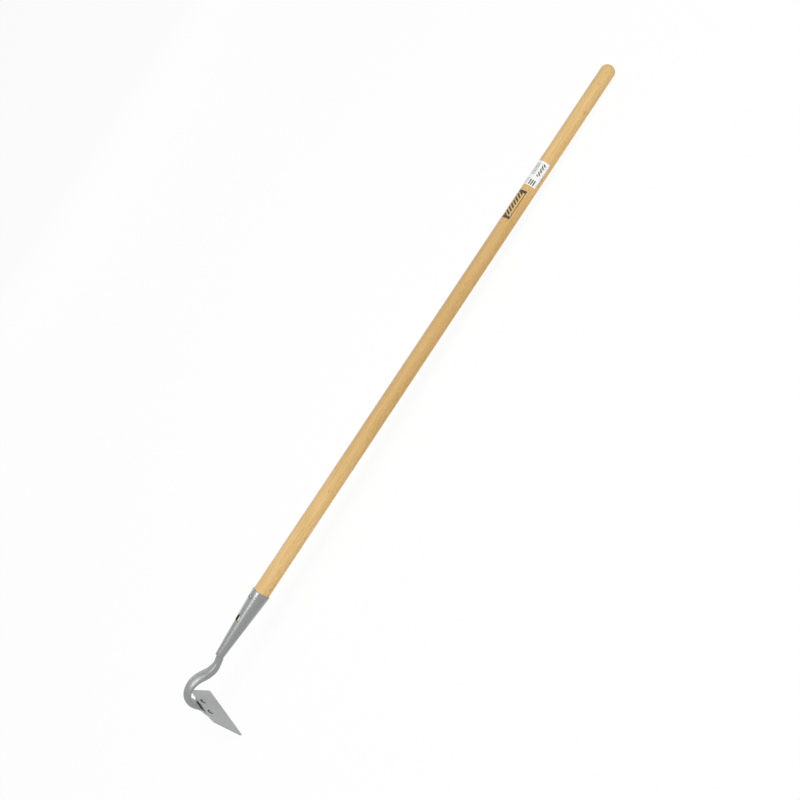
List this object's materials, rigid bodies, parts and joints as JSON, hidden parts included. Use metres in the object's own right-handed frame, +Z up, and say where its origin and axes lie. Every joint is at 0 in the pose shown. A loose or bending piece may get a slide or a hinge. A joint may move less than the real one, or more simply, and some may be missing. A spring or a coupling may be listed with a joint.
{
  "type": "trapezoid hoe",
  "caption": "Long-handled draw hoe with a straight ash handle, a conical socket, a gooseneck and a riveted trapezoid blade.",
  "frame": {"origin": "middle of the blade's cutting edge, which lies on the floor", "axes": "+X from the blade towards the butt of the handle along the floor, +Y across the blade, +Z up; the hoe lies as it rests, on its cutting edge and its butt"},
  "size_m": [1.4024, 0.1372, 0.1084],
  "materials": {
    "ash": "pale ash, sanded smooth and clear lacquered",
    "silver_paint": "silver-grey paint on forged steel, satin",
    "bright_steel": "zinc plated",
    "paper": "matt paper label"
  },
  "bodies": {
    "root": {"handle": "ash", "socket": "silver_paint", "socket_screw": "bright_steel", "neck": "silver_paint", "blade": "silver_paint", "rivet_left": "silver_paint", "rivet_right": "silver_paint", "handle_label": "paper"}
  },
  "joints": []
}
